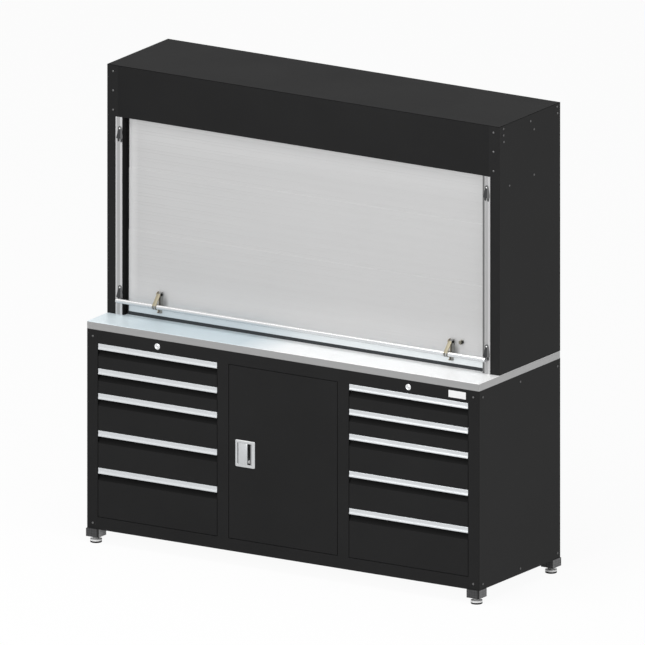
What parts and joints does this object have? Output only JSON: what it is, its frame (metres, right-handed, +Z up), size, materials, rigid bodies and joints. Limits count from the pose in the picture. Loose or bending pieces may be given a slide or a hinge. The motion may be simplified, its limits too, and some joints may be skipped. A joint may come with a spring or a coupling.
{
  "type": "roll front tool cabinet",
  "caption": "Workshop tool cabinet with two banks of sliding drawers, a hinged cupboard door, a steel worktop and a canopy closed by a roller shutter with a lift bar.",
  "frame": {"origin": "on the floor under the centre of the bounding box", "axes": "+X to the right seen from the front, +Y from the front to the back, +Z up"},
  "size_m": [1.8194, 0.609, 1.909],
  "materials": {
    "black_paint": "satin black powder coat",
    "stainless": "polished stainless sheet",
    "zinc": "zinc plated",
    "curtain": "silver grey slats, satin",
    "aluminium": "anodised extrusion",
    "grey_plastic": "ribbed grey moulding",
    "dark_plastic": "dark grey moulding",
    "plate": "white plate, bare",
    "screw_steel": "dark steel heads",
    "seal": "black seal strip",
    "chrome": "bright plated",
    "handle": "anodised pull",
    "brass": "yellow passivated",
    "foot_steel": "bright steel"
  },
  "bodies": {
    "cabinet": {"base_left_side": "black_paint", "base_right_side": "black_paint", "base_back_panel": "black_paint", "base_floor_tray": "black_paint", "front_frame": "black_paint", "cupboard_dividers": "black_paint", "fixed_runners": "zinc", "worktop": "stainless", "leg_blocks": "grey_plastic", "label_plate": "plate", "screws": "screw_steel", "canopy_left_side": "black_paint", "canopy_right_side": "black_paint", "canopy_back_panel": "black_paint", "canopy_roof": "black_paint", "fascia": "black_paint", "shutter_guides": "aluminium", "guide_seals": "seal", "bar_catches": "dark_plastic", "barrel_brackets": "zinc", "lock_housings": "chrome"},
    "foot_front_left": {"levelling_foot_front_left": "foot_steel"},
    "foot_front_right": {"levelling_foot_front_right": "foot_steel"},
    "foot_rear_left": {"levelling_foot_rear_left": "foot_steel"},
    "foot_rear_right": {"levelling_foot_rear_right": "foot_steel"},
    "left_drawer_1": {"left_drawer_1": "black_paint", "left_drawer_handle_1": "handle"},
    "left_drawer_2": {"left_drawer_2": "black_paint", "left_drawer_handle_2": "handle"},
    "left_drawer_3": {"left_drawer_3": "black_paint", "left_drawer_handle_3": "handle"},
    "left_drawer_4": {"left_drawer_4": "black_paint", "left_drawer_handle_4": "handle"},
    "left_drawer_5": {"left_drawer_5": "black_paint", "left_drawer_handle_5": "handle"},
    "right_drawer_1": {"right_drawer_1": "black_paint", "right_drawer_handle_1": "handle"},
    "right_drawer_2": {"right_drawer_2": "black_paint", "right_drawer_handle_2": "handle"},
    "right_drawer_3": {"right_drawer_3": "black_paint", "right_drawer_handle_3": "handle"},
    "right_drawer_4": {"right_drawer_4": "black_paint", "right_drawer_handle_4": "handle"},
    "right_drawer_5": {"right_drawer_5": "black_paint", "right_drawer_handle_5": "handle"},
    "door": {"door_panel": "black_paint", "door_handle_dish": "handle"},
    "paddle": {"door_paddle": "handle"},
    "left_lock": {"left_drawer_lock": "chrome"},
    "right_lock": {"right_drawer_lock": "chrome"},
    "shutter": {"shutter_bottom_section": "curtain", "shutter_bottom_rail": "aluminium", "shutter_bottom_seal": "seal", "arm_brackets": "brass"},
    "shutter_middle": {"shutter_middle_section": "curtain"},
    "shutter_top": {"shutter_top_section": "curtain"},
    "roller": {"roller_barrel": "curtain"},
    "bar": {"lift_bar": "chrome", "lift_bar_arms": "brass"},
    "key_knob": {"shutter_lock": "brass"}
  },
  "joints": [
    {"name": "foot_front_left_height", "type": "slide", "parent": "cabinet", "child": "foot_front_left", "axis": [0, 0, -1], "range_m": [0, 0.015]},
    {"name": "foot_front_right_height", "type": "slide", "parent": "cabinet", "child": "foot_front_right", "axis": [0, 0, -1], "range_m": [0, 0.015]},
    {"name": "foot_rear_left_height", "type": "slide", "parent": "cabinet", "child": "foot_rear_left", "axis": [0, 0, -1], "range_m": [0, 0.015]},
    {"name": "foot_rear_right_height", "type": "slide", "parent": "cabinet", "child": "foot_rear_right", "axis": [0, 0, -1], "range_m": [0, 0.015]},
    {"name": "left_drawer_1_slide", "type": "slide", "parent": "cabinet", "child": "left_drawer_1", "axis": [0, -1, 0], "range_m": [0, 0.44]},
    {"name": "left_drawer_2_slide", "type": "slide", "parent": "cabinet", "child": "left_drawer_2", "axis": [0, -1, 0], "range_m": [0, 0.44]},
    {"name": "left_drawer_3_slide", "type": "slide", "parent": "cabinet", "child": "left_drawer_3", "axis": [0, -1, 0], "range_m": [0, 0.44]},
    {"name": "left_drawer_4_slide", "type": "slide", "parent": "cabinet", "child": "left_drawer_4", "axis": [0, -1, 0], "range_m": [0, 0.44]},
    {"name": "left_drawer_5_slide", "type": "slide", "parent": "cabinet", "child": "left_drawer_5", "axis": [0, -1, 0], "range_m": [0, 0.44]},
    {"name": "right_drawer_1_slide", "type": "slide", "parent": "cabinet", "child": "right_drawer_1", "axis": [0, -1, 0], "range_m": [0, 0.44]},
    {"name": "right_drawer_2_slide", "type": "slide", "parent": "cabinet", "child": "right_drawer_2", "axis": [0, -1, 0], "range_m": [0, 0.44]},
    {"name": "right_drawer_3_slide", "type": "slide", "parent": "cabinet", "child": "right_drawer_3", "axis": [0, -1, 0], "range_m": [0, 0.44]},
    {"name": "right_drawer_4_slide", "type": "slide", "parent": "cabinet", "child": "right_drawer_4", "axis": [0, -1, 0], "range_m": [0, 0.44]},
    {"name": "right_drawer_5_slide", "type": "slide", "parent": "cabinet", "child": "right_drawer_5", "axis": [0, -1, 0], "range_m": [0, 0.44]},
    {"name": "door_hinge", "type": "hinge", "parent": "cabinet", "child": "door", "pos_m": [0.2431, -0.295, 0.109], "axis": [0, 0, 1], "range_deg": [0, 90]},
    {"name": "paddle_lift", "type": "hinge", "parent": "door", "child": "paddle", "pos_m": [-0.2043, -0.29885, 0.463], "axis": [0, 0, -1], "range_deg": [0, 25], "stiffness_Nm_per_rad": 0.5, "springref_deg": -11.46},
    {"name": "left_lock_turn", "type": "hinge", "parent": "cabinet", "child": "left_lock", "pos_m": [-0.58063, -0.3, 0.8415], "axis": [0, 1, 0], "range_deg": [0, 90]},
    {"name": "right_lock_turn", "type": "hinge", "parent": "cabinet", "child": "right_lock", "pos_m": [0.58063, -0.3, 0.8415], "axis": [0, 1, 0], "range_deg": [0, 90]},
    {"name": "shutter_lift", "type": "slide", "parent": "cabinet", "child": "shutter", "axis": [0, 0, 1], "range_m": [0, 0.643]},
    {"name": "shutter_middle_lift", "type": "slide", "parent": "cabinet", "child": "shutter_middle", "axis": [0, 0, 1], "range_m": [0, 0.386]},
    {"name": "shutter_top_lift", "type": "slide", "parent": "cabinet", "child": "shutter_top", "axis": [0, 0, 1], "range_m": [0, 0.1288]},
    {"name": "roller_turn", "type": "hinge", "parent": "cabinet", "child": "roller", "pos_m": [0, 0.015, 1.774], "axis": [-1, 0, 0], "range_deg": [0, 647]},
    {"name": "lift_bar_swing", "type": "hinge", "parent": "shutter", "child": "bar", "pos_m": [0, -0.14, 1.0045], "axis": [-1, 0, 0], "range_deg": [0, 30]},
    {"name": "shutter_lock_turn", "type": "hinge", "parent": "shutter", "child": "key_knob", "pos_m": [0.7189, -0.126, 1.0045], "axis": [0, 1, 0], "range_deg": [0, 90]}
  ],
  "couplings": [
    {"joint": "shutter_middle_lift", "follows": "shutter_lift", "ratio": 0.6},
    {"joint": "shutter_top_lift", "follows": "shutter_lift", "ratio": 0.2},
    {"joint": "roller_turn", "follows": "shutter_lift", "rad_per_m": 17.544}
  ]
}
